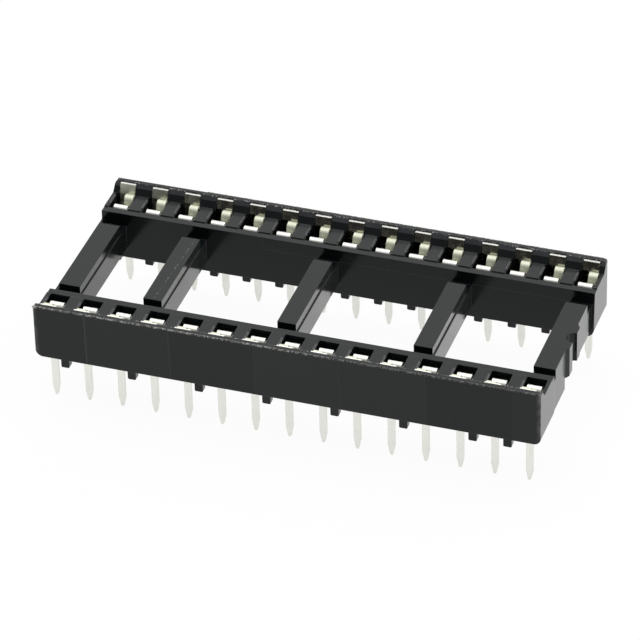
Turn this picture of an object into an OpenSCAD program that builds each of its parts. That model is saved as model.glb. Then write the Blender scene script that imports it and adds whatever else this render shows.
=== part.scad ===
// Open-frame dual-in-line socket: one moulded ladder body and a stamped contact in every cell.
// X runs along the rows towards the notched end, Y across them, Z up.
// The origin is the centre of the footprint on the board, under the soles of the feet.

/* [Contact grid] */
// Contacts in each row
positions = 15; // [6:1:29]
// Spacing of the contacts along a row
pitch = 2.54; // [2.4:0.01:3]
// Distance between the two rows of solder tails
row_spacing = 15.24; // [12:0.01:25]

/* [Rails] */
// Height of the rim above the board
body_h = 5.08; // [4.6:0.01:6]
// Drop from the rim to the flat top of the rail
rim_step = 0.72; // [0.5:0.01:1]
// Width of the rim at its top
rim_w = 0.42; // [0.3:0.01:0.5]
// How far the sloping inner side of the rim reaches inwards at its foot
rim_slope = 0.65; // [0.5:0.01:0.7]
// Radius of the outer edge of the rim
rim_edge_r = 0.15; // [0.05:0.01:0.25]
// From the row of tails out to the outer face, at the rim
outer_reach = 1.13; // [1.05:0.01:1.5]
// From the row of tails in to the inner face, at the lip
inner_reach = 2.36; // [2.2:0.01:3]
// From the row of tails in to the step between the flat top and the lip
lip_reach = 1.78; // [1.6:0.01:1.79]
// Drop from the flat top to the lip
lip_drop = 0.07; // [0.03:0.01:0.2]
// Draft angle of the outer face, in degrees
draft = 2; // [0.5:0.1:3]
// Draft angle of the inner face, in degrees
inner_draft = 4; // [0.5:0.1:5]
// From the last contact to the end of the rail
end_margin = 1.05; // [1:0.01:1.5]
// Radius of the lower corners of a rail, seen from its long side
corner_r = 0.55; // [0.2:0.01:0.8]
// Radius of the upper corners of the rim, seen from its long side
rim_corner_r = 0.25; // [0.1:0.01:0.45]
// Radius of the upright edges at the ends of a rail
end_edge_r = 0.2; // [0.1:0.01:0.4]

/* [Feet] */
// Height of the feet that hold the rails off the board
foot_h = 0.66; // [0.3:0.01:1]
// Length of a foot along the rail
foot_w = 0.62; // [0.5:0.01:1]
// Depth of a foot across the rail
foot_depth = 0.5; // [0.4:0.01:0.85]
// Shift of the feet along the rail from the middle of their cells
foot_shift = 0.1; // [0:0.01:0.2]
// How far the inner feet stand back from the inner face
foot_inset = 0.38; // [0.1:0.01:0.5]
// Radius of the lower corners of a foot
foot_r = 0.1; // [0.05:0.01:0.2]

/* [Cells] */
// Width of a contact window along the rail
window_w = 1.46; // [1.44:0.01:1.7]
// From the row of tails in to the inner edge of a window
window_reach = 1.8; // [1.75:0.01:1.9]
// Lead-in slant along the sides of a window
window_chamfer = 0.08; // [0.02:0.01:0.2]
// Thickness of the floor under a contact
floor_t = 0.35; // [0.25:0.01:0.6]
// Clearance of a contact in its cell
clear = 0.03; // [0.02:0.01:0.05]

/* [Contacts] */
// Thickness of the sheet that a contact is stamped from
sheet = 0.2; // [0.15:0.01:0.22]
// Inside radius of the bends at the base of a contact
bend_r = 0.15; // [0.1:0.01:0.25]
// Width of the outer plate and the base
plate_w = 1.2; // [1.1:0.01:1.3]
// From the row of tails out to the face of the outer plate
plate_reach = 0.26; // [0.2:0.01:0.3]
// Height of the flared top of the outer plate, the lead-in for a chip
flare_h = 0.68; // [0.4:0.01:0.75]
// Lean of the flared top, in degrees
flare_lean = 20; // [5:1:22]
// How far the outer plate ends below the rim
plate_drop = 0.09; // [0.02:0.01:0.3]
// Width of the inner leaf
leaf_w = 1.06; // [0.9:0.01:1.1]
// Gap between the inner leaf and the window's inner wall
leaf_gap = 0.42; // [0.3:0.01:0.5]
// How far the hem of the inner leaf lies below the flat top
leaf_drop = 0.24; // [0.15:0.01:0.5]
// Inside radius of the hem
hem_r = 0.1; // [0.05:0.01:0.12]
// Length of the turned-down edge of the hem
hem_turn = 0.35; // [0.2:0.01:0.6]
// Width of the spring tongue at its arch
tongue_w = 0.67; // [0.5:0.01:0.68]
// How much wider the tongue is at its root
tongue_taper = 0.36; // [0:0.01:0.5]
// Sideways shift of the spring tongue from the middle of the cell
tongue_shift = 0.36; // [0.1:0.01:0.36]
// Lean of the tongue from its root on the base, in degrees
tongue_lean = 8; // [4:0.5:9]
// Inside radius of the arch on the tongue
arch_r = 0.2; // [0.06:0.01:0.22]
// Height of the arch above the flat top
arch_rise = 0.14; // [-0.2:0.01:0.2]
// Length of the nose that hangs from the arch
nose_len = 0.8; // [0.5:0.01:1.2]
// Slot between the nose and the outer plate, for the lead of a chip
lead_gap = 0.04; // [0.03:0.01:0.12]

/* [Solder tails] */
// Width of a tail
tail_w = 0.53; // [0.4:0.01:0.6]
// Reach of a tail below the board's upper face
tail_len = 3.18; // [2.5:0.01:4]
// Length of the taper at the end of a tail
tail_taper = 0.85; // [0.4:0.01:1.2]
// Radius of the tip of a tail
tail_tip_r = 0.12; // [0.06:0.01:0.18]

/* [Cross-bars] */
// Contacts before the first inner cross-bar
first_bar = 3; // [2:1:4]
// Contacts from one inner cross-bar to the next
bar_step = 4; // [3:1:6]
// Width of an inner cross-bar
bar_w = 1.4; // [1:0.01:1.8]
// Width of an end bar
end_bar_w = 1.61; // [1.4:0.01:2]
// Set-back of the end bars from the ends of the rails
end_setback = 0.23; // [0.1:0.01:0.5]
// Drop from the flat top of the rails to the top of the bars
bar_drop = 0.36; // [0.2:0.01:0.6]
// Height of the raised pad on a bar
pad_h = 0.74; // [0.5:0.01:1.2]
// Gap between a pad and the inner face of a rail
pad_gap = 1.16; // [0.6:0.01:1.5]
// Ledge on both sides of a pad, where the wider beam begins
ledge = 0.08; // [0.02:0.01:0.15]
// Height of the underside of the bars above the board
bar_clear = 1.42; // [1.2:0.01:1.8]
// Drop from the flat top of the rails to the flange on the plain end bar
flange_drop = 0.78; // [0.6:0.01:1.5]

/* [Notched end] */
// Height of the underside of the notched bar above the board
notched_clear = 1.18; // [1.05:0.01:1.4]
// Width of the outer face of the boss on the notched end bar
boss_w = 2.66; // [2.4:0.01:4]
// Slant on both sides of the boss
boss_slant = 0.36; // [0.1:0.01:0.5]
// How far the boss stands out from the end bar
boss_out = 0.23; // [0.2:0.01:0.5]
// Height of the boss, down from the top of the bar
boss_h = 2.4; // [1.6:0.01:2.5]
// Width of the orientation notch
notch_w = 1.18; // [0.8:0.01:1.2]
// Depth of the orientation notch from the face of the boss
notch_depth = 0.62; // [0.62:0.01:1]

/* [Hidden] */
$fn = 48;
overlap = 0.2;
far = 20;
body_color = "#2b2c2e";
tin_color = "#cfcdc6";

row_len = (positions - 1) * pitch;
rail_len = row_len + 2 * end_margin;
top_z = body_h - rim_step;
rim_v = outer_reach - rim_w;
rim_foot_v = rim_v - rim_slope;
outer_low_v = outer_reach - (body_h - foot_h) * tan(draft);
lip_z = top_z - lip_drop;
inner_low_v = -inner_reach - (lip_z - foot_h) * tan(inner_draft);

floor_z = foot_h + floor_t;
plate_top = body_h - plate_drop;
flare_z = plate_top - flare_h;
flare_out = flare_h * tan(flare_lean);
recess_v = plate_reach + flare_out + sheet + clear;
leaf_v = leaf_gap - window_reach;
hem_v = leaf_v + sheet + hem_r;
hem_z = top_z - leaf_drop - sheet - hem_r;
arch_v = plate_reach - lead_gap - sheet - arch_r;
arch_z = top_z + arch_rise - sheet - arch_r;
tongue_drop = arch_z - floor_z - sheet / 2 + (arch_r + sheet / 2) * sin(tongue_lean);
tongue_leg = tongue_drop / cos(tongue_lean);

inner_half = row_spacing / 2 - inner_reach;
bar_top = top_z - bar_drop;
pad_z = bar_top - pad_h;
end_bar_x = rail_len / 2 - end_setback - end_bar_w / 2;
boss_z = bar_top - boss_h;
inner_bars = [for (k = [first_bar - 0.5 : bar_step : positions - 2.5]) contact_x(k)];
outer_feet = concat([for (k = [0 : 2 : positions - 3]) k + 0.5], [positions - 1.5]);

function contact_x(k) = k * pitch - row_len / 2;
function contact_name(k) = str("contact_", k < 10 ? "0" : "", k);

// Extrudes an outline drawn in Y and Z along X, about the middle.
module along_x(length) {
    rotate([90, 0, 90])
        translate([0, 0, -length / 2])
            linear_extrude(length)
                children();
}

// Extrudes an outline drawn in X and Z along Y, about the middle.
module along_y(length) {
    rotate([90, 0, 0])
        translate([0, 0, -length / 2])
            linear_extrude(length)
                children();
}

// A box on its middle in X and Y, from one height to another.
module slab(length, width, z_low, z_high) {
    translate([-length / 2, -width / 2, z_low])
        cube([length, width, z_high - z_low]);
}

// Turns a part of the far rail, drawn from its row of tails outwards, onto both rails.
module on_both_rails() {
    for (turn = [0, 180])
        rotate([0, 0, turn])
            translate([0, row_spacing / 2, 0])
                children();
}

// An upright outline with its two lower corners rounded.
module round_bottom(left, right, low, high, r) {
    translate([left + r, low])
        square([right - left - 2 * r, high - low]);
    translate([left, low + r])
        square([right - left, high - low - r]);
    for (corner = [left + r, right - r])
        translate([corner, low + r])
            circle(r);
}

// Cross-section of a rail: outer wall with its raised rim, flat top, lower lip and inner wall.
module rail_section() {
    edge_v = outer_reach - rim_edge_r;
    edge_z = body_h - rim_edge_r;
    edge = [for (a = [0 : 15 : 90]) [edge_v + rim_edge_r * cos(a), edge_z + rim_edge_r * sin(a)]];
    polygon(concat(
        [[outer_low_v, foot_h]],
        edge,
        [
            [rim_v, body_h],
            [rim_foot_v, top_z],
            [-lip_reach, top_z],
            [-lip_reach, lip_z],
            [-inner_reach, lip_z],
            [inner_low_v, foot_h]
        ]
    ));
}

// Long side of a rail, with round corners at the feet and at the rim.
module rail_side() {
    half = rail_len / 2;
    middle = top_z - overlap;
    round_bottom(-half, half, foot_h, middle + overlap, corner_r);
    translate([0, foot_h + body_h])
        mirror([0, 1])
            round_bottom(-half, half, foot_h, body_h + foot_h - middle, rim_corner_r);
}

// Rail from above, with round upright edges at both ends.
module rail_plan() {
    half = rail_len / 2 - end_edge_r;
    for (x = [-half, half])
        for (v = [inner_low_v + end_edge_r, outer_reach - end_edge_r])
            translate([x, v])
                circle(end_edge_r);
    translate([-half, inner_low_v])
        square([2 * half, outer_reach - inner_low_v]);
    translate([-rail_len / 2, inner_low_v + end_edge_r])
        square([rail_len, outer_reach - inner_low_v - 2 * end_edge_r]);
}

module rail() {
    intersection() {
        along_x(rail_len)
            rail_section();
        along_y(far)
            rail_side();
        linear_extrude(far)
            rail_plan();
    }
}

// A foot under a rail, its outline drawn along the rail.
module foot() {
    along_y(foot_depth)
        round_bottom(-foot_w / 2, foot_w / 2, 0, foot_h + overlap, foot_r);
}

module rail_feet() {
    for (k = outer_feet)
        translate([foot_shift - contact_x(k), outer_low_v - clear - foot_depth / 2, 0])
            foot();
    for (k = [0 : positions - 1])
        translate([contact_x(k) - foot_shift, inner_low_v + foot_inset + foot_depth / 2, 0])
            foot();
}

// Outline of a window, seen along Y, with a lead-in slant on both sides.
module window_across() {
    half = window_w / 2;
    wide = half + window_chamfer + overlap;
    polygon([
        [-half, floor_z],
        [half, floor_z],
        [half, top_z - window_chamfer],
        [wide, top_z + overlap],
        [-wide, top_z + overlap],
        [-half, top_z - window_chamfer]
    ]);
}

// The hollow of a cell: the window, the recess for the outer plate and the slot for the tail.
module cell() {
    translate([0, (rim_foot_v - window_reach) / 2, 0])
        along_y(rim_foot_v + window_reach)
            window_across();
    translate([0, recess_v / 2, 0])
        slab(plate_w + 2 * clear, recess_v, floor_z, body_h + overlap);
    slab(tail_w + 2 * clear, sheet + 2 * clear, foot_h - overlap, floor_z + overlap);
}

// A cross-bar: a beam from rail to rail, and a narrower pad on it that stops short of the rails.
module cross_bar(width, step, underside) {
    slab(width, 2 * (inner_half - pad_gap), pad_z, bar_top);
    slab(width + 2 * step, 2 * (inner_half + overlap), underside, pad_z);
}

// The plain end bar, with a flange out to the ends of the rails.
module plain_bar() {
    cross_bar(end_bar_w, ledge, bar_clear);
    translate([-(end_bar_w + end_setback) / 2, 0, 0])
        slab(end_setback, 2 * (inner_half + overlap), bar_clear, top_z - flange_drop);
}

// Outline of the boss from above, drawn from the middle of the end bar outwards.
module boss_plan() {
    foot_half = boss_w / 2 + boss_slant;
    polygon([
        [0, -foot_half],
        [end_bar_w / 2, -foot_half],
        [end_bar_w / 2 + boss_out, -boss_w / 2],
        [end_bar_w / 2 + boss_out, boss_w / 2],
        [end_bar_w / 2, foot_half],
        [0, foot_half]
    ]);
}

// The end bar at the first contact: a boss with a half-round notch, cut away below,
// and a deeper half on the side of the last contact.
module notched_bar() {
    boss_foot = boss_w + 2 * boss_slant;
    face_x = end_bar_w / 2 + boss_out;
    round_x = face_x - notch_depth + notch_w / 2;
    apron_w = inner_half + overlap - boss_foot / 2;
    difference() {
        union() {
            cross_bar(end_bar_w, 0, notched_clear);
            translate([0, -(boss_foot + apron_w) / 2, 0])
                slab(end_bar_w, apron_w, foot_h, pad_z);
            translate([0, 0, boss_z])
                linear_extrude(boss_h)
                    boss_plan();
        }
        slab(2 * face_x, boss_foot, foot_h, boss_z);
        translate([round_x, 0, boss_z - overlap])
            cylinder(h = boss_h + 2 * overlap, d = notch_w);
        translate([round_x + notch_w / 2, 0, 0])
            slab(notch_w, notch_w, boss_z - overlap, bar_top + overlap);
    }
}

module housing() {
    color(body_color)
        difference() {
            union() {
                on_both_rails() {
                    rail();
                    rail_feet();
                }
                for (x = inner_bars)
                    translate([x, 0, 0])
                        cross_bar(bar_w, ledge, bar_clear);
                translate([-end_bar_x, 0, 0])
                    plain_bar();
                translate([end_bar_x, 0, 0])
                    notched_bar();
            }
            on_both_rails()
                for (k = [0 : positions - 1])
                    translate([contact_x(k), 0, 0])
                        cell();
        }
}

// The sheet of a contact bent to a U: outer plate with its flared top, base and inner leaf.
module u_strip() {
    plate_v = plate_reach + sheet;
    polygon([
        [plate_reach, flare_z],
        [plate_v, flare_z],
        [plate_v + flare_out, plate_top],
        [plate_reach + flare_out, plate_top]
    ]);
    difference() {
        round_bottom(leaf_v, plate_v, floor_z, flare_z, bend_r + sheet);
        round_bottom(leaf_v + sheet, plate_reach, floor_z + sheet, body_h, bend_r);
        translate([leaf_v - sheet, hem_z])
            square([3 * sheet, body_h - hem_z]);
    }
}

// The sheet turned back on itself, drawn about the middle of its bend, with both legs hanging down.
module hairpin(r, leg) {
    outside = r + sheet;
    difference() {
        union() {
            circle(outside);
            translate([-outside, -leg])
                square([2 * outside, leg]);
        }
        circle(r);
        translate([-r, -leg - overlap])
            square([2 * r, leg + overlap]);
    }
}

// The spring tongue: leaning up from the base, over the arch and down to the nose.
module tongue_outline() {
    translate([arch_v, arch_z])
        rotate(-tongue_lean) {
            hairpin(arch_r, nose_len);
            translate([-arch_r - sheet, -tongue_leg])
                square([sheet, tongue_leg]);
        }
}

// The tongue from the front: wide at its root on the base, and shifted to one side at its arch.
module tongue_face() {
    left = tongue_shift - tongue_w / 2;
    right = tongue_shift + tongue_w / 2;
    root = min(right, plate_w / 2);
    polygon([
        [left - tongue_taper, 0],
        [root, 0],
        [root, floor_z],
        [right, top_z - nose_len],
        [right, body_h],
        [left, body_h],
        [left, arch_z],
        [left - tongue_taper, floor_z]
    ]);
}

// A solder tail with a tapered, round tip, hung from the base.
module tail_outline() {
    half = tail_w / 2;
    tip_z = tail_tip_r - tail_len;
    polygon([
        [-half, floor_z + sheet],
        [-half, tail_taper - tail_len],
        [-tail_tip_r, tip_z],
        [tail_tip_r, tip_z],
        [half, tail_taper - tail_len],
        [half, floor_z + sheet]
    ]);
    translate([0, tip_z])
        circle(tail_tip_r);
}

// One stamped contact, drawn at its row of tails with the outer plate towards +Y.
module contact() {
    trim = (plate_w - leaf_w) / 2;
    difference() {
        along_x(plate_w)
            u_strip();
        for (side = [-1, 1])
            translate([side * (leaf_w + trim + overlap) / 2, leaf_v, 0])
                slab(trim + overlap, 3 * sheet, floor_z + sheet + bend_r, body_h);
    }
    along_x(leaf_w)
        translate([hem_v, hem_z])
            hairpin(hem_r, hem_turn);
    intersection() {
        along_x(pitch)
            tongue_outline();
        along_y(far)
            tongue_face();
    }
    along_y(sheet)
        tail_outline();
}

// Contact k in its cell: down the far rail from the notched end, and back along the near rail.
module placed_contact(k) {
    on_far_rail = k <= positions;
    along = on_far_rail ? positions - k : 2 * positions - k;
    color(tin_color)
        rotate([0, 0, on_far_rail ? 0 : 180])
            translate([contact_x(along), row_spacing / 2, 0])
                contact();
}

housing();
for (k = [1 : 2 * positions])
    placed_contact(k);
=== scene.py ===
# %% [markdown]
# A dual-in-line socket is a black moulded ladder that carries two rows of stamped metal contacts. Its
# shape comes from the CAD part, which is loaded as a fixed frame: every object sits at the origin, in
# metres, with its place in its mesh. What is left for this file is the surface of each piece, the thin
# flash that the mould left on the rims, the light and the camera. The CAD part's box is kept from the
# start, because the floor, the flash and the marks on the plastic are placed from it.

# %% The CAD part
import math

import bmesh
import bpy
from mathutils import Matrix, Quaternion, Vector, noise


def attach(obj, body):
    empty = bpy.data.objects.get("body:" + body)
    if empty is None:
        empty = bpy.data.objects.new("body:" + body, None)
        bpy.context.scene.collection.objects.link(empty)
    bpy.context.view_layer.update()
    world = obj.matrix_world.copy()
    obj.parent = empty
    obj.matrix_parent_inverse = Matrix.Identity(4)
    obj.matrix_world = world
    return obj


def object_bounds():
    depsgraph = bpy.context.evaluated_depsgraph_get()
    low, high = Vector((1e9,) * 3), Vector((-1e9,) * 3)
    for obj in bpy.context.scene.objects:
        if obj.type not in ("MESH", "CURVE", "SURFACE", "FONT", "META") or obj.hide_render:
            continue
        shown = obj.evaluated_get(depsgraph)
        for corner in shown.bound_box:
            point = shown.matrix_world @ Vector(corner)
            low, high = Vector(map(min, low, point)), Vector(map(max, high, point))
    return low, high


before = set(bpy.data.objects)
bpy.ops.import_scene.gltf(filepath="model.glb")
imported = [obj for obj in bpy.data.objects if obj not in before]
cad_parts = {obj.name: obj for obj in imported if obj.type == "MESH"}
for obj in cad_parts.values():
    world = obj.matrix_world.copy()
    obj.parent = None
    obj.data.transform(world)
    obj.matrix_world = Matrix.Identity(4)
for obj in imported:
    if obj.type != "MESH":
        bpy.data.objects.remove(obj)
cad_low, cad_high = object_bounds()
MM = 0.001
print("CAD box in mm:", [round(v / MM, 2) for v in (*cad_low, *cad_high)])
print("nodes:", len(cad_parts))

# %% [markdown]
# The socket was shot with a long lens from above the near right end. A camera can be set by eye, but the
# tips of the tails lie on a 2.54 mm grid, so here they give it exactly: its direction, its distance and
# the length of the lens. The direction is an azimuth and an elevation, as a photographer would say it,
# and the small roll is a turn about the lens. The focal length was found in pixels of the picture.

# %% Camera
AZIMUTH = math.radians(19.291)
ELEVATION = math.radians(35.083)
ROLL = math.radians(-1.521)
AIM = Vector((-0.930, 2.135, 0.126)) * MM
DISTANCE = 328.39 * MM
FOCAL_PX = 4523.88
PICTURE_PX = 640
SENSOR = 36

to_camera = Vector((
    math.sin(AZIMUTH) * math.cos(ELEVATION),
    -math.cos(AZIMUTH) * math.cos(ELEVATION),
    math.sin(ELEVATION),
))
lens = bpy.data.cameras.new("camera")
lens.sensor_width = SENSOR
lens.lens = FOCAL_PX * SENSOR / PICTURE_PX
lens.clip_start = 0.01
lens.clip_end = 20
camera = bpy.data.objects.new("camera", lens)
bpy.context.scene.collection.objects.link(camera)
camera.rotation_mode = "QUATERNION"
camera.rotation_quaternion = to_camera.to_track_quat("Z", "Y") @ Quaternion((0, 0, 1), ROLL)
camera.location = AIM + to_camera * DISTANCE
bpy.context.scene.camera = camera
print("camera:", [round(v / MM, 1) for v in camera.location], "mm, lens", round(lens.lens, 1), "mm")

# %% [markdown]
# Every finish below is a node tree. Small helpers keep the trees readable. One turns an sRGB hex colour
# into the linear numbers that shaders work in, and one starts an empty material. One adds a node, sets its
# properties and fills its inputs: a node given as an input stands for its first live output, and a plain
# number or colour is set on the socket itself.

# %% Helpers for colours and nodes
def linear(hex_colour):
    channels = [int(hex_colour[i:i + 2], 16) / 255 for i in (1, 3, 5)]
    return [c / 12.92 if c <= 0.04045 else ((c + 0.055) / 1.055) ** 2.4 for c in channels] + [1.0]


def add(tree, kind, inputs=None, **settings):
    node = tree.nodes.new(kind)
    for name, value in settings.items():
        setattr(node, name, value)
    for name, value in (inputs or {}).items():
        if isinstance(value, bpy.types.Node):
            value = next(socket for socket in value.outputs if socket.enabled)
        if isinstance(value, bpy.types.NodeSocket):
            tree.links.new(value, node.inputs[name])
        else:
            node.inputs[name].default_value = value
    return node


def new_material(name):
    material = bpy.data.materials.new(name)
    material.use_nodes = True
    material.node_tree.nodes.clear()
    return material, material.node_tree


print("white is", linear("#ffffff"), "and middle grey is", [round(c, 3) for c in linear("#808080")])

# %% [markdown]
# The picture is a catalogue shot on white. The floor is a large pale sheet at the tips of the tails. It
# could be lit until it clips, but then the socket would be lit too much as well. So for rays from the lens
# it is nearly all plain white, and for rays from a shiny surface mostly so. The rest of it is an ordinary
# matt sheet, which keeps a trace of the socket's shadow.

# %% Floor
FLOOR_RADIUS = 3.0
WHITE_FOR_LENS = 0.95
WHITE_FOR_GLOSS = 0.8
paper, tree = new_material("white_paper_sweep")
rays = add(tree, "ShaderNodeLightPath").outputs
shiny = add(tree, "ShaderNodeMath", {0: rays["Is Glossy Ray"], 1: rays["Is Transmission Ray"]},
            operation="MAXIMUM")
for_gloss = add(tree, "ShaderNodeMath", {0: shiny, 1: WHITE_FOR_GLOSS}, operation="MULTIPLY")
for_lens = add(tree, "ShaderNodeMath", {0: rays["Is Camera Ray"], 1: WHITE_FOR_LENS},
               operation="MULTIPLY")
share = add(tree, "ShaderNodeMath", {0: for_gloss, 1: for_lens}, operation="MAXIMUM")
matt = add(tree, "ShaderNodeBsdfDiffuse", {"Color": linear("#f8f8f6")})
glow = add(tree, "ShaderNodeEmission", {"Color": linear("#ffffff"), "Strength": 1.0})
mixed = add(tree, "ShaderNodeMixShader", {0: share, 1: matt, 2: glow})
add(tree, "ShaderNodeOutputMaterial", {"Surface": mixed})

sheet = bmesh.new()
bmesh.ops.create_circle(sheet, cap_ends=True, segments=96, radius=FLOOR_RADIUS)
bmesh.ops.translate(sheet, verts=sheet.verts, vec=(0, 0, cad_low.z))
floor_mesh = bpy.data.meshes.new("floor")
sheet.to_mesh(floor_mesh)
sheet.free()
floor = bpy.data.objects.new("floor", floor_mesh)
bpy.context.scene.collection.objects.link(floor)
floor_mesh.materials.append(paper)
print("floor at", round(cad_low.z / MM, 2), "mm")

# %% [markdown]
# The world goes on above the horizon like a white tent. It could be one even white, but black plastic
# shows only what it mirrors, and a catalogue shot is lit from the back. So the tent is bright behind the
# socket and dim in front: from this side the flat tops mirror its back wall, and the faces that look at
# the lens stay dark. The lens itself sees plain white.

# %% Tent
BACK_WALL = (0.25, 0.9, 0.35)
DIM = 0.05
DIM_UNTIL = -0.6
BRIGHT = 1.2
BRIGHT_FROM = 0.4
world = bpy.data.worlds.new("white_tent")
bpy.context.scene.world = world
world.use_nodes = True
tree = world.node_tree
tree.nodes.clear()
rays = add(tree, "ShaderNodeLightPath").outputs
direction = add(tree, "ShaderNodeTexCoord").outputs["Generated"]
to_back = add(tree, "ShaderNodeVectorMath", {0: direction, 1: BACK_WALL}, operation="DOT_PRODUCT")
level = add(tree, "ShaderNodeMapRange", {
    "Value": to_back, "From Min": DIM_UNTIL, "From Max": BRIGHT_FROM, "To Min": DIM, "To Max": BRIGHT})
strength = add(tree, "ShaderNodeMix", {0: rays["Is Camera Ray"], 2: level, 3: 1.0}, data_type="FLOAT")
tent = add(tree, "ShaderNodeBackground", {"Color": linear("#ffffff"), "Strength": strength})
add(tree, "ShaderNodeOutputWorld", {"Surface": tent})
bpy.context.scene.view_settings.view_transform = "Standard"
print("tent level:", DIM, "in front,", BRIGHT, "behind")

# %% [markdown]
# One soft lamp hangs over the socket. It could stand beside the lens, but then the flat faces would turn
# grey. From above, nothing flat mirrors it into the lens, because that takes a surface that leans halfway
# towards the viewer. Only the round edges do: the hems and arches of the contacts and the outer edge of
# each rim. So the lamp picks out the curves, and the faces keep the grey of the tent.

# %% Soft lamp
LAMP_PLACE = Vector((-0.10, 0.04, 0.60))
softbox = bpy.data.lights.new("softbox", "AREA")
softbox.shape = "RECTANGLE"
softbox.size = 0.5
softbox.size_y = 0.4
softbox.energy = 1.1
lamp = bpy.data.objects.new("softbox", softbox)
bpy.context.scene.collection.objects.link(lamp)
lamp.location = LAMP_PLACE
lamp.rotation_mode = "QUATERNION"
lamp.rotation_quaternion = LAMP_PLACE.to_track_quat("Z", "Y")
print("lamp:", round(softbox.energy, 2), "W at", [round(v, 2) for v in LAMP_PLACE], "m")

# %% [markdown]
# The ladder is glass-filled polyester, moulded in polished steel. Such a black is a clear skin over soot:
# the base is almost black, and what shows is the white tent mirrored in the skin, weakly on faces seen
# squarely and strongly on faces seen at a slant. The skin has a fine grain, and the edges are paler: partly
# worn, and partly a painted highlight for the light that rounded edges catch. Edges could be bevelled in
# the mesh, but the CAD part's mesh stays as it is. A Bevel node rounds them for the light instead, and
# where its normal leaves the face's own normal is where the pale edge goes.

# %% Black polyester: grain, and pale edges that are part wear and part painted highlight
# The real grain is a few hundredths of a millimetre. It is drawn coarser here, so that it shows.
GRAIN = 0.16
FLOW = 3.0
EDGE_ROUNDING = 0.05
black, tree = new_material("black_polyester_moulded")
place = add(tree, "ShaderNodeTexCoord").outputs["Object"]
mm = add(tree, "ShaderNodeVectorMath", {0: place, "Scale": 1 / MM}, operation="SCALE")
x, y, z = add(tree, "ShaderNodeSeparateXYZ", {0: mm}).outputs
off_centre = add(tree, "ShaderNodeMath", {0: x}, operation="ABSOLUTE")
off_middle = add(tree, "ShaderNodeMath", {0: y}, operation="ABSOLUTE")

grain = add(tree, "ShaderNodeTexNoise", {
    "Vector": mm, "Scale": 1 / GRAIN, "Detail": 4.0, "Roughness": 0.6})
flow = add(tree, "ShaderNodeTexNoise", {
    "Vector": mm, "Scale": 1 / FLOW, "Detail": 3.0, "Roughness": 0.55})

rounded = add(tree, "ShaderNodeBevel", {"Radius": EDGE_ROUNDING * MM}, samples=6)
normal = add(tree, "ShaderNodeNewGeometry").outputs["Normal"]
turn = add(tree, "ShaderNodeVectorMath", {0: rounded, 1: normal}, operation="DOT_PRODUCT")
edge = add(tree, "ShaderNodeMapRange", {
    "Value": turn, "From Min": 0.99, "From Max": 0.85, "To Min": 0.0, "To Max": 1.0})
edge_patches = add(tree, "ShaderNodeMapRange", {
    "Value": grain, "From Min": 0.42, "From Max": 0.7, "To Min": 0.0, "To Max": 0.5})
# Pale edges: partly wear, partly a painted highlight of the rounded edges.
worn_and_highlit_edge = add(tree, "ShaderNodeMath", {0: edge, 1: edge_patches}, operation="MULTIPLY")
print("grain of", GRAIN, "mm, edges rounded by", EDGE_ROUNDING, "mm")

# %% [markdown]
# The outer faces were shaped by a row of steel blocks, each two and a half cells long. The blocks differ
# a little in polish, and where two of them meet a faint upright line is left, plainest at the left end.
# Such a line could be cut into the mesh, but it stands only microns proud, so it is a mask. The place along
# the row is counted in blocks: the whole part of the count names the block, and how close the count is to
# a whole number draws the line. The pitch of the cells gives the length of a block, and the CAD part's box
# in millimetres gives the outer faces.

# %% Black polyester: marks of the mould blocks
PITCH = 2.54
HALF_LENGTH, HALF_WIDTH, TOP = (v / MM for v in cad_high)
BLOCK = 2.5 * PITCH
FIRST_JOINT = -14.9
FAINT_FROM = -4.0
JOINT_HALF = 0.07
OUTER_ZONE = HALF_WIDTH - 0.3
FADE = 0.1
count = add(tree, "ShaderNodeMath", {0: x, 1: 1 / BLOCK, 2: -FIRST_JOINT / BLOCK},
            operation="MULTIPLY_ADD")
block = add(tree, "ShaderNodeMath", {0: count}, operation="FLOOR")
polish = add(tree, "ShaderNodeTexWhiteNoise", {"W": block}, noise_dimensions="1D")
to_joint = add(tree, "ShaderNodeMath", {0: count, 1: 0.5}, operation="PINGPONG")
joint = add(tree, "ShaderNodeMapRange", {
    "Value": to_joint, "From Min": 0.0, "From Max": JOINT_HALF / BLOCK, "To Min": 1.0, "To Max": 0.0})
outer = add(tree, "ShaderNodeMapRange", {
    "Value": off_middle, "From Min": OUTER_ZONE, "From Max": OUTER_ZONE + FADE,
    "To Min": 0.0, "To Max": 1.0})
marked = add(tree, "ShaderNodeMapRange", {
    "Value": x, "From Min": FIRST_JOINT, "From Max": FAINT_FROM, "To Min": 1.0, "To Max": 0.15})
witness = joint
for mask in (marked, outer):
    witness = add(tree, "ShaderNodeMath", {0: witness, 1: mask}, operation="MULTIPLY")
gloss = add(tree, "ShaderNodeMath", {0: polish, 1: outer}, operation="MULTIPLY")
print("mould joints every", BLOCK, "mm on the outer faces")

# %% [markdown]
# A socket that has held chips is scuffed. A tool was levered along the inner edge of each rim, which left
# pale specks on the edge and a duller band on the slope below it. Such wear could be painted by hand, but
# both marks follow the edge. So each is a mask of the distance to it, in the cross-section of the rail,
# and noises break them up.

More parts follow.
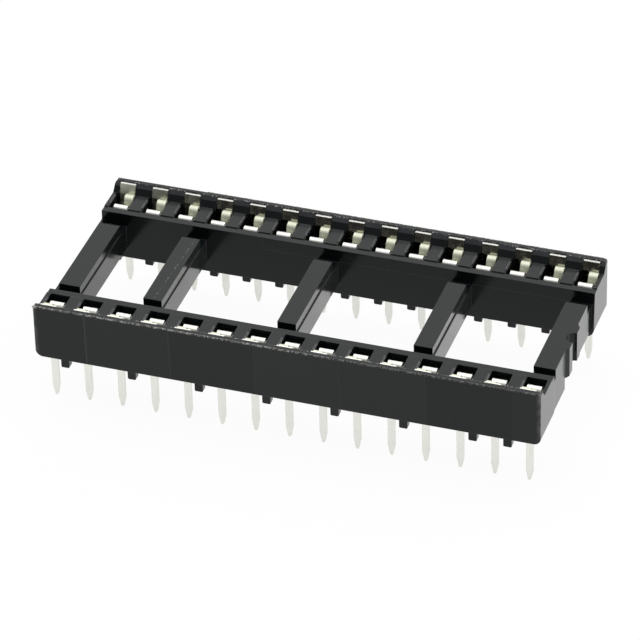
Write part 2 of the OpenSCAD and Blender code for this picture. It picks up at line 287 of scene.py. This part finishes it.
# %% Black polyester: scuffed rims
RIM_W = 0.42
RIM_EDGE = (0.0, HALF_WIDTH - RIM_W, TOP)
BAND = 0.42
BAND_FADE = 0.05
RIM_SKIN = 0.01
SCUFF = 0.1
SPECK = 0.12
section = add(tree, "ShaderNodeCombineXYZ", {1: off_middle, 2: z})
to_edge = add(tree, "ShaderNodeVectorMath", {0: section, 1: RIM_EDGE}, operation="DISTANCE")
on_edge = add(tree, "ShaderNodeMapRange", {
    "Value": to_edge, "From Min": SCUFF / 2, "From Max": SCUFF, "To Min": 0.9, "To Max": 0.0})
crumbs = add(tree, "ShaderNodeTexNoise", {"Vector": mm, "Scale": 1 / SPECK, "Detail": 2.0})
speck = add(tree, "ShaderNodeMapRange", {
    "Value": crumbs, "From Min": 0.56, "From Max": 0.64, "To Min": 0.0, "To Max": 1.0})
specks = add(tree, "ShaderNodeMath", {0: on_edge, 1: speck}, operation="MULTIPLY")

on_slope = add(tree, "ShaderNodeMapRange", {
    "Value": to_edge, "From Min": BAND - BAND_FADE, "From Max": BAND, "To Min": 1.0, "To Max": 0.0})
below = add(tree, "ShaderNodeMapRange", {
    "Value": z, "From Min": TOP - BAND_FADE, "From Max": TOP - RIM_SKIN, "To Min": 1.0, "To Max": 0.0})
band = flow
for mask in (on_slope, below):
    band = add(tree, "ShaderNodeMath", {0: band, 1: mask}, operation="MULTIPLY")
print("scuffed band of", BAND, "mm below each rim")

# %% [markdown]
# The outer faces are pale at both ends. Partly they are rubbed, as by the tube that such sockets are
# shipped in, and partly the pale strip is a painted highlight for the light that the rounded upright edges
# catch there. A strip of one even grey would look printed on. So the distance to the end gives the strip,
# and a noise leaves gaps in it.

# %% Black polyester: rubbed ends with a painted highlight
END_STRIP = 0.33
END_SKIN = 0.03
END_PATCH = 0.6
at_end = add(tree, "ShaderNodeMapRange", {
    "Value": off_centre, "From Min": HALF_LENGTH - END_STRIP, "From Max": HALF_LENGTH - END_SKIN,
    "To Min": 0.0, "To Max": 1.0})
end_patches = add(tree, "ShaderNodeTexNoise", {"Vector": mm, "Scale": 1 / END_PATCH, "Detail": 3.0})
# Pale ends of the outer faces: rubbing, and a painted highlight of the rounded end edges.
end_rub_and_highlight = add(tree, "ShaderNodeMapRange", {
    "Value": end_patches, "From Min": 0.4, "From Max": 0.62, "To Min": 0.35, "To Max": 1.0})
for mask in (at_end, outer):
    end_rub_and_highlight = add(tree, "ShaderNodeMath", {0: end_rub_and_highlight, 1: mask}, operation="MULTIPLY")
print("rubbed strip of", END_STRIP, "mm at both ends")

# %% [markdown]
# The sides of the three inner bars came from slots in the steel that were eroded and never polished, so
# they are mottled. Their paler grey is a painted reflection, which stands in for the bright floor that
# these faces mirror at a slant. Beside one side of every mouth lies a pale strip, a painted highlight of
# its rounded edge. Both could be separate materials on chosen faces, but then their borders would be hard.
# The bars' sides are found by the way they face, and the mouths by their place in the cell, which repeats
# with the pitch.

# %% Black polyester: sides of the bars with painted reflection, and painted highlights beside the mouths
SQUARE_ON = 0.9
INSIDE_RAILS = 5.6
INSIDE_END_BARS = 15.0
MOUTH = 1.46
MOUTH_Y = 6.9
MOUTH_REACH = 0.55
MOUTH_Z = 4.36
HIGHLIGHT_DEPTH = 0.12
HIGHLIGHT_W = 0.15
facing = add(tree, "ShaderNodeSeparateXYZ", {0: normal}).outputs
sideways = add(tree, "ShaderNodeMath", {0: facing["X"]}, operation="ABSOLUTE")
bar_side = add(tree, "ShaderNodeMath", {0: sideways, 1: SQUARE_ON}, operation="GREATER_THAN")
between_rails = add(tree, "ShaderNodeMath", {0: off_middle, 1: INSIDE_RAILS}, operation="LESS_THAN")
inner_bar = add(tree, "ShaderNodeMath", {0: off_centre, 1: INSIDE_END_BARS}, operation="LESS_THAN")
for mask in (between_rails, inner_bar):
    bar_side = add(tree, "ShaderNodeMath", {0: bar_side, 1: mask}, operation="MULTIPLY")
# Paler grey on the bars' sides: a painted reflection of the bright floor, mottled by the grain.
mottle_and_painted_sheen = add(tree, "ShaderNodeMapRange", {
    "Value": grain, "From Min": 0.35, "From Max": 0.65, "To Min": 0.6, "To Max": 1.0})
mottle_and_painted_sheen = add(tree, "ShaderNodeMath", {0: mottle_and_painted_sheen, 1: bar_side}, operation="MULTIPLY")

in_cell = add(tree, "ShaderNodeMath", {0: x, 1: PITCH / 2}, operation="ADD")
in_cell = add(tree, "ShaderNodeMath", {0: in_cell, 1: PITCH}, operation="FLOORED_MODULO")
beside = add(tree, "ShaderNodeMath", {0: in_cell, 1: (PITCH - MOUTH - HIGHLIGHT_W) / 2, 2: HIGHLIGHT_W / 2},
             operation="COMPARE")
at_mouth = add(tree, "ShaderNodeMath", {0: off_middle, 1: MOUTH_Y, 2: MOUTH_REACH}, operation="COMPARE")
at_top = add(tree, "ShaderNodeMath", {0: z, 1: MOUTH_Z, 2: HIGHLIGHT_DEPTH}, operation="COMPARE")
# Pale strip beside each mouth: a painted highlight of its rounded edge.
mouth_highlight = add(tree, "ShaderNodeMapRange", {
    "Value": grain, "From Min": 0.35, "From Max": 0.6, "To Min": 0.3, "To Max": 1.0})
for mask in (beside, at_mouth, at_top):
    mouth_highlight = add(tree, "ShaderNodeMath", {0: mouth_highlight, 1: mask}, operation="MULTIPLY")
print("rubbed strip of", HIGHLIGHT_W, "mm beside each mouth")

# %% [markdown]
# The inner faces of the rails were shaped by a long insert that starts some way from the left end. Its
# lower edge left a faint level line, and its end a short upright one. They are too fine for the mesh, so
# they are two thin strips of the place on the part. Only faces that look along Y, on the inner side of the
# rails, carry them.

# %% Black polyester: the line of the inner insert
INSERT_X = -6.2
INSERT_Z = 3.35
LINE_HALF = 0.035
across = add(tree, "ShaderNodeMath", {0: facing["Y"]}, operation="ABSOLUTE")
looks_in = add(tree, "ShaderNodeMath", {0: across, 1: SQUARE_ON}, operation="GREATER_THAN")
past_start = add(tree, "ShaderNodeMath", {0: x, 1: INSERT_X}, operation="GREATER_THAN")
level_line = add(tree, "ShaderNodeMath", {0: z, 1: INSERT_Z, 2: LINE_HALF}, operation="COMPARE")
level_line = add(tree, "ShaderNodeMath", {0: level_line, 1: past_start}, operation="MULTIPLY")
over_line = add(tree, "ShaderNodeMath", {0: z, 1: INSERT_Z}, operation="GREATER_THAN")
end_line = add(tree, "ShaderNodeMath", {0: x, 1: INSERT_X, 2: LINE_HALF}, operation="COMPARE")
end_line = add(tree, "ShaderNodeMath", {0: end_line, 1: over_line}, operation="MULTIPLY")
parting = add(tree, "ShaderNodeMath", {0: level_line, 1: end_line}, operation="MAXIMUM")
for mask in (looks_in, between_rails):
    parting = add(tree, "ShaderNodeMath", {0: parting, 1: mask}, operation="MULTIPLY")
print("insert from X =", INSERT_X, "mm, lower edge at", INSERT_Z, "mm")

# %% [markdown]
# The top of the second cross-bar carries a fine broken scratch, almost along the bar. A thread of mesh
# could lie there, but a scratch is a groove. So it is a thin line in the plan of the part, cut into dashes
# by noise and kept to the tops of the bars, between the rails.

# %% Black polyester: a scratch
SCRATCH_X = -11.226
SCRATCH_SLOPE = 0.04
SCRATCH_CORE = 0.01
SCRATCH_HALF = 0.035
DASH = 0.35
BAR_TOP = 4.0
BAR_SKIN = 0.05
drift = add(tree, "ShaderNodeMath", {0: y, 1: SCRATCH_SLOPE, 2: SCRATCH_X}, operation="MULTIPLY_ADD")
off_line = add(tree, "ShaderNodeMath", {0: x, 1: drift}, operation="SUBTRACT")
off_line = add(tree, "ShaderNodeMath", {0: off_line}, operation="ABSOLUTE")
scratch = add(tree, "ShaderNodeMapRange", {
    "Value": off_line, "From Min": SCRATCH_CORE, "From Max": SCRATCH_HALF, "To Min": 0.6, "To Max": 0.0})
dashes = add(tree, "ShaderNodeTexNoise", {"W": y, "Scale": 1 / DASH, "Detail": 2.0},
             noise_dimensions="1D")
dash = add(tree, "ShaderNodeMapRange", {
    "Value": dashes, "From Min": 0.5, "From Max": 0.65, "To Min": 0.0, "To Max": 1.0})
on_bar = add(tree, "ShaderNodeMath", {0: z, 1: BAR_TOP, 2: BAR_SKIN}, operation="COMPARE")
for mask in (dash, on_bar, between_rails):
    scratch = add(tree, "ShaderNodeMath", {0: scratch, 1: mask}, operation="MULTIPLY")
print("scratch at X =", SCRATCH_X, "mm")

# %% [markdown]
# Now the marks come together on a near black that drifts a little, as the melt did when it flowed. Each
# mark is mixed over the one before it, so a loop over pairs of mask and colour does the work. Polyester
# has an IOR of about 1.57, but one layer of it mirrors too much when seen squarely. Two weak layers, base
# and coat, mirror little there and much at a slant, as the photo shows. The coat is whole only on the
# sides of the inner bars, which are the brightest.

# %% Black polyester: the shader
SKIN_IOR = 1.25
BLOCK_DULL = 0.08
JOINT_RELIEF = 2.0
# The pale edges, the pale ends and the bars' sides are partly painted highlight or reflection, and the
# strips beside the mouths are a painted highlight.
MARKS = (
    (gloss, "#1c2021"), (band, "#525357"), (end_rub_and_highlight, "#5e5f5c"), (mottle_and_painted_sheen, "#2e2f30"), (worn_and_highlit_edge, "#6a6a68"),
    (mouth_highlight, "#565558"), (parting, "#2a2a2d"), (witness, "#3c3c3e"), (specks, "#a6a6a2"),
    (scratch, "#a8a8a4"),
)
shade = add(tree, "ShaderNodeMix", {"Factor": flow, 6: linear("#0b1011"), 7: linear("#111617")},
            data_type="RGBA")
for mark, hex_colour in MARKS:
    shade = add(tree, "ShaderNodeMix", {"Factor": mark, 6: shade, 7: linear(hex_colour)},
                data_type="RGBA")
rough = add(tree, "ShaderNodeMapRange", {
    "Value": grain, "From Min": 0.3, "From Max": 0.7, "To Min": 0.14, "To Max": 0.2})
rough = add(tree, "ShaderNodeMath", {0: gloss, 1: BLOCK_DULL, 2: rough}, operation="MULTIPLY_ADD")
relief = add(tree, "ShaderNodeMath", {0: witness, 1: JOINT_RELIEF, 2: grain}, operation="MULTIPLY_ADD")
bump = add(tree, "ShaderNodeBump", {
    "Strength": 0.08, "Distance": 0.01 * MM, "Height": relief, "Normal": rounded})
clear = add(tree, "ShaderNodeMapRange", {
    "Value": bar_side, "From Min": 0.0, "From Max": 1.0, "To Min": 0.65, "To Max": 1.0})
skin = add(tree, "ShaderNodeBsdfPrincipled", {
    "Base Color": shade, "Roughness": rough, "IOR": SKIN_IOR, "Normal": bump,
    "Coat Weight": clear, "Coat Roughness": 0.15, "Coat IOR": SKIN_IOR, "Coat Normal": bump})
add(tree, "ShaderNodeOutputMaterial", {"Surface": skin})

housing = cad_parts["housing"]
housing.data.materials.clear()
housing.data.materials.append(black)
print("housing:", len(housing.data.polygons), "triangles in", black.name)

# %% [markdown]
# Along the outer top edge of each rim the two halves of the mould met, and a thin skin of plastic squeezed
# out between them. It was broken off, and a ragged, dull and paler ridge is left. Bump could fake it, but
# the ridge shows in the outline of the far rim, so it is a thin strip of mesh: a grid is laid along the
# edge, bent round it, pushed out by noise and extruded inwards for its thickness. The edge is rounded, and
# the ridge never leaves the corner that this rounding took off, so the part keeps its size.

# %% Torn flash: the ridge
EDGE_R = 0.15 * MM
STEP = 0.05 * MM
TEAR = 0.14 * MM
TEAR_ROUND = 1.5
TEAR_SEED = 7.0
SWELL = 1.1 * MM
SWELL_LEAST = 0.4
SWELL_SEED = 3.0
FOOT = 0.93
CREST = 1.1
RAGGED = 0.32
THICKNESS = 0.2


def ridge(side, start, end):
    strip = bmesh.new()
    bmesh.ops.create_grid(strip, x_segments=round((end - start) / STEP), y_segments=8, size=0.5)
    axis_y = cad_high.y - EDGE_R
    axis_z = cad_high.z - EDGE_R
    # The grid runs from -0.5 to 0.5 both ways: X goes along the rim, and Y round its edge.
    for vert in strip.verts:
        at_foot = abs(vert.co.y) > 0.49
        run = start + (vert.co.x + 0.5) * (end - start)
        bend = (vert.co.y + 0.5) * math.pi / 2
        torn = 0.5 + 0.5 * noise.noise(Vector((run / TEAR, bend * TEAR_ROUND, TEAR_SEED * side)))
        swell = 0.5 + 0.5 * noise.noise(Vector((run / SWELL, 0.0, SWELL_SEED * side)))
        reach = EDGE_R * (FOOT if at_foot else CREST + RAGGED * torn * (SWELL_LEAST + swell))
        out = min(cad_high.y, axis_y + reach * math.cos(bend))
        up = min(cad_high.z, axis_z + reach * math.sin(bend))
        vert.co = (run, side * out, up)
    grown = bmesh.ops.extrude_face_region(strip, geom=strip.faces[:])["geom"]
    for vert in (item for item in grown if isinstance(item, bmesh.types.BMVert)):
        vert.co.y += THICKNESS * (side * axis_y - vert.co.y)
        vert.co.z += THICKNESS * (axis_z - vert.co.z)
    bmesh.ops.recalc_face_normals(strip, faces=strip.faces)
    return strip


print("ridge round an edge of", round(EDGE_R / MM, 2), "mm, in steps of", round(STEP / MM, 2), "mm")

# %% [markdown]
# The near rim has its ridge from end to end, and the far one only from the second bar on. Each ridge
# becomes an object that rides on the socket's one body and takes the housing's plastic. They could be
# joined into one piece, but two are easier to find and to take away.

# %% Torn flash: the pieces on the rims
CORNER_R = 0.25 * MM
FAR_START = -11.7 * MM


def flash_piece(name, shape):
    print(name, "has", sum(not edge.is_manifold for edge in shape.edges), "open edges")
    mesh = bpy.data.meshes.new(name)
    shape.to_mesh(mesh)
    shape.free()
    piece = bpy.data.objects.new(name, mesh)
    bpy.context.scene.collection.objects.link(piece)
    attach(piece, "root")
    return piece


rim_end = cad_high.x - CORNER_R
flashes = [
    flash_piece("rim_flash_near", ridge(-1, -rim_end, rim_end)),
    flash_piece("rim_flash_far", ridge(1, FAR_START, rim_end)),
]
print([(piece.name, len(piece.data.polygons)) for piece in flashes])

# %% [markdown]
# At the near left corner a crumb of the flash was left standing. It fills the corner that the rounding of
# the rim's end took off. It could be sculpted, but a lump this small needs only an icosphere that noise
# pushes out of shape. It is flattened where it would leave the part's box.

# %% Torn flash: the crumb at the near left corner
NEAR_LEFT = Vector((cad_low.x, cad_low.y, cad_high.z))
CRUMB_CENTRE = NEAR_LEFT + Vector((0.21, 0.05, -0.06)) * MM
CRUMB_SIZE = Vector((0.22, 0.08, 0.10)) * MM
LUMPS = 0.4
LUMP_SCALE = 1.9
crumb = bmesh.new()
bmesh.ops.create_icosphere(crumb, subdivisions=4, radius=1.0)
for vert in crumb.verts:
    lump = 1.0 + LUMPS * noise.noise(vert.co * LUMP_SCALE)
    spot = CRUMB_CENTRE + Vector(c * s for c, s in zip(vert.co, CRUMB_SIZE)) * lump
    vert.co = (max(cad_low.x, spot.x), max(cad_low.y, spot.y), min(cad_high.z, spot.z))
bmesh.ops.recalc_face_normals(crumb, faces=crumb.faces)
flashes.append(flash_piece("flash_crumb", crumb))
print("crumb:", len(flashes[-1].data.polygons), "faces")

# %% [markdown]
# Torn polyester is the same black plastic with its skin gone: the break is rough, and the bared glass
# fibres scatter light, so it shows as pale specks on dull grey. A single grey would look like paint, so
# the specks follow a noise and stay near the corner where the skin broke off. The right half of the near
# rim was wiped cleaner and shows fewer of them, and the crumb is bare all over.

# %% Torn polyester: bared fibres
# A glass fibre is about a hundredth of a millimetre thick. The specks are drawn coarser, so that they show.
FIBRES = 0.14
CORNER = (0.0, HALF_WIDTH, TOP)
BREAK_CORE = 0.04
BREAK_REACH = 0.13
WIPED_FROM = 0.0
WIPED_TO = 5.0
CRUMB_END = 0.33 - HALF_LENGTH
torn_black, tree = new_material("black_polyester_torn")
place = add(tree, "ShaderNodeTexCoord").outputs["Object"]
mm = add(tree, "ShaderNodeVectorMath", {0: place, "Scale": 1 / MM}, operation="SCALE")
x, y, z = add(tree, "ShaderNodeSeparateXYZ", {0: mm}).outputs
off_middle = add(tree, "ShaderNodeMath", {0: y}, operation="ABSOLUTE")
section = add(tree, "ShaderNodeCombineXYZ", {1: off_middle, 2: z})
to_corner = add(tree, "ShaderNodeVectorMath", {0: section, 1: CORNER}, operation="DISTANCE")
break_line = add(tree, "ShaderNodeMapRange", {
    "Value": to_corner, "From Min": BREAK_CORE, "From Max": BREAK_REACH, "To Min": 1.0, "To Max": 0.0})
wiped = add(tree, "ShaderNodeMapRange", {
    "Value": x, "From Min": WIPED_FROM, "From Max": WIPED_TO, "To Min": 0.8, "To Max": 0.3})
far_side = add(tree, "ShaderNodeMath", {0: y, 1: 0.0}, operation="GREATER_THAN")
left_bare = add(tree, "ShaderNodeMath", {0: wiped, 1: far_side}, operation="MAXIMUM")
fibres = add(tree, "ShaderNodeTexNoise", {
    "Vector": mm, "Scale": 1 / FIBRES, "Detail": 4.0, "Roughness": 0.7})
bared = add(tree, "ShaderNodeMapRange", {
    "Value": fibres, "From Min": 0.47, "From Max": 0.6, "To Min": 0.03, "To Max": 1.0})
for mask in (break_line, left_bare):
    bared = add(tree, "ShaderNodeMath", {0: bared, 1: mask}, operation="MULTIPLY")
at_crumb = add(tree, "ShaderNodeMapRange", {
    "Value": x, "From Min": CRUMB_END + FADE, "From Max": CRUMB_END, "To Min": 0.0, "To Max": 0.7})
bared = add(tree, "ShaderNodeMath", {0: bared, 1: at_crumb}, operation="MAXIMUM")
print("bared fibres within", BREAK_REACH, "mm of the corner")

# %% [markdown]
# Where the fibres are bare no skin is left to mirror the tent, so those specks are rough, and what is left
# of the skin between them is still smooth. Colour, roughness and bump could each have a pattern of their
# own, but one noise drives all three, so that a pale speck is also a rough and raised one.

# %% Torn polyester: the shader
colour = add(tree, "ShaderNodeMix", {"Factor": bared, 6: linear("#111112"), 7: linear("#c6c6c2")},
             data_type="RGBA")
rough = add(tree, "ShaderNodeMapRange", {
    "Value": bared, "From Min": 0.0, "From Max": 1.0, "To Min": 0.2, "To Max": 0.7})
bump = add(tree, "ShaderNodeBump", {"Strength": 0.3, "Distance": 0.02 * MM, "Height": fibres})
broken = add(tree, "ShaderNodeBsdfPrincipled", {
    "Base Color": colour, "Roughness": rough, "IOR": 1.4, "Normal": bump})
add(tree, "ShaderNodeOutputMaterial", {"Surface": broken})
for piece in flashes:
    piece.data.materials.append(torn_black)
print("flash in", torn_black.name)

# %% [markdown]
# The contacts are stamped from rolled bronze strip and plated with matt tin after bending. Tin is a pale,
# slightly warm grey metal. The plating follows the fine rolling lines of the strip, it is thinner on the
# sheared edges, and there the bronze tints it. The lines could be cut with a Wave texture, but rolled
# lines never repeat, so a noise is drawn out along the strip. The tint uses the same comparison of normals
# as the worn edges of the plastic.

# %% Tin: rolling lines and sheared edges
# Rolling lines are about a hundredth of a millimetre apart. They are drawn coarser, so that they show.
LINE_W = 0.06
LINE_LENGTH = 1.2
CLOUD = 0.5
SHEARED_ROUNDING = 0.03
tin, tree = new_material("matt_tin_on_rolled_bronze")
place = add(tree, "ShaderNodeTexCoord").outputs["Object"]
mm = add(tree, "ShaderNodeVectorMath", {0: place, "Scale": 1 / MM}, operation="SCALE")
x, y, z = add(tree, "ShaderNodeSeparateXYZ", {0: mm}).outputs
drawn_out = add(tree, "ShaderNodeVectorMath", {0: mm, 1: (1 / LINE_W, 1 / LINE_W, 1 / LINE_LENGTH)},
                operation="MULTIPLY")
lines = add(tree, "ShaderNodeTexNoise", {"Vector": drawn_out, "Scale": 1.0, "Detail": 2.0})
cloud = add(tree, "ShaderNodeTexNoise", {"Vector": mm, "Scale": 1 / CLOUD, "Detail": 3.0})
rounded = add(tree, "ShaderNodeBevel", {"Radius": SHEARED_ROUNDING * MM}, samples=6)
normal = add(tree, "ShaderNodeNewGeometry").outputs["Normal"]
turn = add(tree, "ShaderNodeVectorMath", {0: rounded, 1: normal}, operation="DOT_PRODUCT")
edge = add(tree, "ShaderNodeMapRange", {
    "Value": turn, "From Min": 0.98, "From Max": 0.75, "To Min": 0.0, "To Max": 0.35})
thin = add(tree, "ShaderNodeMath", {0: edge, 1: cloud}, operation="MULTIPLY")
print("rolling lines of", LINE_W, "mm, sheared edges rounded by", SHEARED_ROUNDING, "mm")

# %% [markdown]
# Three zones of a contact differ. The solder tail and the inner leaf keep the tin about as it was plated.
# The spring tongue, which every chip rubs, is duller and yellower. The plate that guides a lead in was
# burnished by it, so it mirrors its dark cell, and its grey is darkened too, as painted shade for that
# cell.
# Both are least at the left end. They could be three materials, but a contact is one strip. So tongue and
# plate are ranges of the distance from the middle of the part, and only inside the cells.

# %% Tin: zones of a contact
CELL_MIDDLE = 3.1
CELL_HALF = 1.85
TONGUE_FROM = 6.88
PLATE_FROM = 7.84
PLATE_FADE = 0.03
BURNISH_AND_SHADE_FROM = -18.0
BURNISH_AND_SHADE_TO = -10.0
off_middle = add(tree, "ShaderNodeMath", {0: y}, operation="ABSOLUTE")
inside = add(tree, "ShaderNodeMath", {0: z, 1: CELL_MIDDLE, 2: CELL_HALF}, operation="COMPARE")
sprung = add(tree, "ShaderNodeMapRange", {
    "Value": off_middle, "From Min": TONGUE_FROM, "From Max": TONGUE_FROM + FADE,
    "To Min": 0.0, "To Max": 1.0})
sprung = add(tree, "ShaderNodeMath", {0: sprung, 1: inside}, operation="MULTIPLY")
guide = add(tree, "ShaderNodeMapRange", {
    "Value": off_middle, "From Min": PLATE_FROM, "From Max": PLATE_FROM + PLATE_FADE,
    "To Min": 0.0, "To Max": 1.0})
guide = add(tree, "ShaderNodeMath", {0: guide, 1: inside}, operation="MULTIPLY")
burnish_and_shade = add(tree, "ShaderNodeMapRange", {
    "Value": x, "From Min": BURNISH_AND_SHADE_FROM, "From Max": BURNISH_AND_SHADE_TO, "To Min": 0.0, "To Max": 1.0})
painted_plate_shade = add(tree, "ShaderNodeMath", {0: guide, 1: burnish_and_shade}, operation="MULTIPLY")
print("tongue from", TONGUE_FROM, "mm and plate from", PLATE_FROM, "mm off the middle")

# %% [markdown]
# A metal shows its colour only in what it mirrors, so the zones differ most in roughness. The tails are
# the smoothest matt tin, the cells are a little rougher and the tongues rougher still. The plates leave
# that scale: they are smooth, with patches where the burnishing missed.

# %% Tin: the shader
TONGUE_DULL = 0.14
colour = add(tree, "ShaderNodeMix", {"Factor": cloud, 6: linear("#efefe8"), 7: linear("#f7f7f2")},
             data_type="RGBA")
# The plates' darker grey is painted shade for their dark cells, fading out towards the left end.
for mark, hex_colour in ((sprung, "#e4e6d4"), (painted_plate_shade, "#a19f94"), (thin, "#b8905f")):
    colour = add(tree, "ShaderNodeMix", {"Factor": mark, 6: colour, 7: linear(hex_colour)},
                 data_type="RGBA")
bent = add(tree, "ShaderNodeMapRange", {
    "Value": inside, "From Min": 0.0, "From Max": 1.0, "To Min": 0.26, "To Max": 0.34})
bent = add(tree, "ShaderNodeMath", {0: sprung, 1: TONGUE_DULL, 2: bent}, operation="MULTIPLY_ADD")
rough = add(tree, "ShaderNodeMapRange", {
    "Value": lines, "From Min": 0.3, "From Max": 0.7, "To Min": 0.16, "To Max": 0.26})
rough = add(tree, "ShaderNodeMath", {0: rough, 1: bent}, operation="ADD")
patch = add(tree, "ShaderNodeMapRange", {
    "Value": cloud, "From Min": 0.4, "From Max": 0.62, "To Min": 0.0, "To Max": 0.24})
polish = add(tree, "ShaderNodeMapRange", {
    "Value": burnish_and_shade, "From Min": 0.0, "From Max": 1.0, "To Min": 0.4, "To Max": 0.07})
polish = add(tree, "ShaderNodeMath", {0: polish, 1: patch}, operation="ADD")
rough = add(tree, "ShaderNodeMix", {0: guide, 2: rough, 3: polish}, data_type="FLOAT")
relief = add(tree, "ShaderNodeMapRange", {
    "Value": guide, "From Min": 0.0, "From Max": 1.0, "To Min": 0.12, "To Max": 0.03})
bump = add(tree, "ShaderNodeBump", {
    "Strength": relief, "Distance": 0.01 * MM, "Height": lines, "Normal": rounded})
metal = add(tree, "ShaderNodeBsdfPrincipled", {
    "Base Color": colour, "Metallic": 1.0, "Roughness": rough, "Normal": bump})
add(tree, "ShaderNodeOutputMaterial", {"Surface": metal})

contacts = [obj for name, obj in sorted(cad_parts.items()) if name.startswith("contact_")]
for contact in contacts:
    contact.data.materials.clear()
    contact.data.materials.append(tin)
print(len(contacts), "contacts in", tin.name)
